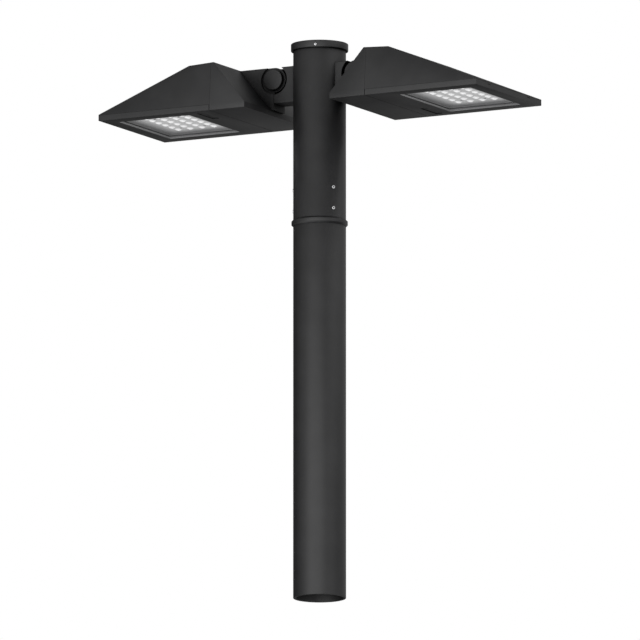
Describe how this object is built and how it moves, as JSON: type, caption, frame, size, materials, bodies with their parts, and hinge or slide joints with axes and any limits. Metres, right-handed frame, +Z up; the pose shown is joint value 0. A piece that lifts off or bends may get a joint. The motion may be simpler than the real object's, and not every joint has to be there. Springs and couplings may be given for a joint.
{
  "type": "pole-top area light",
  "caption": "Pole-top area light: two tilting wedge-shaped LED heads on a round fitter with a flat cap, on a steel pole.",
  "frame": {"origin": "centre of the pole's open lower end, on the pole's axis", "axes": "+Z up along the pole's axis; the right head reaches towards +X and the left head towards -X; +Y is across the heads"},
  "size_m": [1.032, 0.332, 1.349],
  "materials": {
    "pole_coat": "fine-texture black powder coat",
    "head_coat": "fine-texture black powder coat on die-cast aluminium",
    "latch_nylon": "black glass-filled nylon",
    "window_glass": "clear toughened glass",
    "lens_acrylic": "clear moulded lenses, lit white",
    "reflector_sheet": "satin grey anodised sheet",
    "trim_sheet": "bright grey anodised trim",
    "board_laminate": "white solder mask",
    "spreader_aluminium": "milled",
    "driver_case": "grey painted case",
    "terminal_polyamide": "natural polyamide",
    "zinc_steel": "zinc plated",
    "stainless_screw": "stainless steel",
    "brass_washer": "plain",
    "rubber_seal": "matt"
  },
  "bodies": {
    "root": {"pole_shaft": "pole_coat", "joint_sleeve": "zinc_steel", "fitter_tube": "pole_coat", "pole_cap": "pole_coat", "cap_screws": "stainless_screw", "fitter_set_screws": "stainless_screw", "right_arm": "head_coat", "right_arm_gasket": "rubber_seal", "right_arm_bolts": "zinc_steel", "right_backing_plate": "zinc_steel", "right_friction_washers": "brass_washer", "left_arm": "head_coat", "left_arm_gasket": "rubber_seal", "left_arm_bolts": "zinc_steel", "left_backing_plate": "zinc_steel", "left_friction_washers": "brass_washer"},
    "right_head": {"right_rear_housing": "head_coat", "right_front_housing": "head_coat", "right_reflector_plate": "reflector_sheet", "right_led_board": "board_laminate", "right_led_optics": "lens_acrylic", "right_heat_spreader": "spreader_aluminium", "right_driver": "driver_case", "right_driver_bracket": "zinc_steel", "right_terminal_block": "terminal_polyamide", "right_pivot_bolt": "zinc_steel", "right_pivot_nut": "zinc_steel", "right_pivot_caps": "head_coat", "right_housing_screws": "zinc_steel", "right_board_screws": "stainless_screw"},
    "right_door": {"right_door_frame": "head_coat", "right_door_glass": "window_glass", "right_window_trim": "trim_sheet", "right_door_gasket": "rubber_seal", "right_door_hinge_pins": "stainless_screw", "right_latch_pin": "stainless_screw"},
    "right_latch": {"right_latch_lever": "latch_nylon"},
    "left_head": {"left_rear_housing": "head_coat", "left_front_housing": "head_coat", "left_reflector_plate": "reflector_sheet", "left_led_board": "board_laminate", "left_led_optics": "lens_acrylic", "left_heat_spreader": "spreader_aluminium", "left_driver": "driver_case", "left_driver_bracket": "zinc_steel", "left_terminal_block": "terminal_polyamide", "left_pivot_bolt": "zinc_steel", "left_pivot_nut": "zinc_steel", "left_pivot_caps": "head_coat", "left_housing_screws": "zinc_steel", "left_board_screws": "stainless_screw"},
    "left_door": {"left_door_frame": "head_coat", "left_door_glass": "window_glass", "left_window_trim": "trim_sheet", "left_door_gasket": "rubber_seal", "left_door_hinge_pins": "stainless_screw", "left_latch_pin": "stainless_screw"},
    "left_latch": {"left_latch_lever": "latch_nylon"}
  },
  "joints": [
    {"name": "right_tilt", "type": "hinge", "parent": "root", "child": "right_head", "pos_m": [0.1104, 0, 1.268], "axis": [0, -1, 0], "range_deg": [0, 60]},
    {"name": "right_door_hinge", "type": "hinge", "parent": "right_head", "child": "right_door", "pos_m": [0.5135, 0, 1.1925], "axis": [0, -1, 0], "range_deg": [0, 85]},
    {"name": "right_latch_turn", "type": "hinge", "parent": "right_door", "child": "right_latch", "pos_m": [0.2455, 0, 1.1845], "axis": [0, 1, 0], "range_deg": [0, 50]},
    {"name": "left_tilt", "type": "hinge", "parent": "root", "child": "left_head", "pos_m": [-0.1104, 0, 1.268], "axis": [0, 1, 0], "range_deg": [0, 60]},
    {"name": "left_door_hinge", "type": "hinge", "parent": "left_head", "child": "left_door", "pos_m": [-0.5135, 0, 1.1925], "axis": [0, 1, 0], "range_deg": [0, 85]},
    {"name": "left_latch_turn", "type": "hinge", "parent": "left_door", "child": "left_latch", "pos_m": [-0.2455, 0, 1.1845], "axis": [0, -1, 0], "range_deg": [0, 50]}
  ]
}
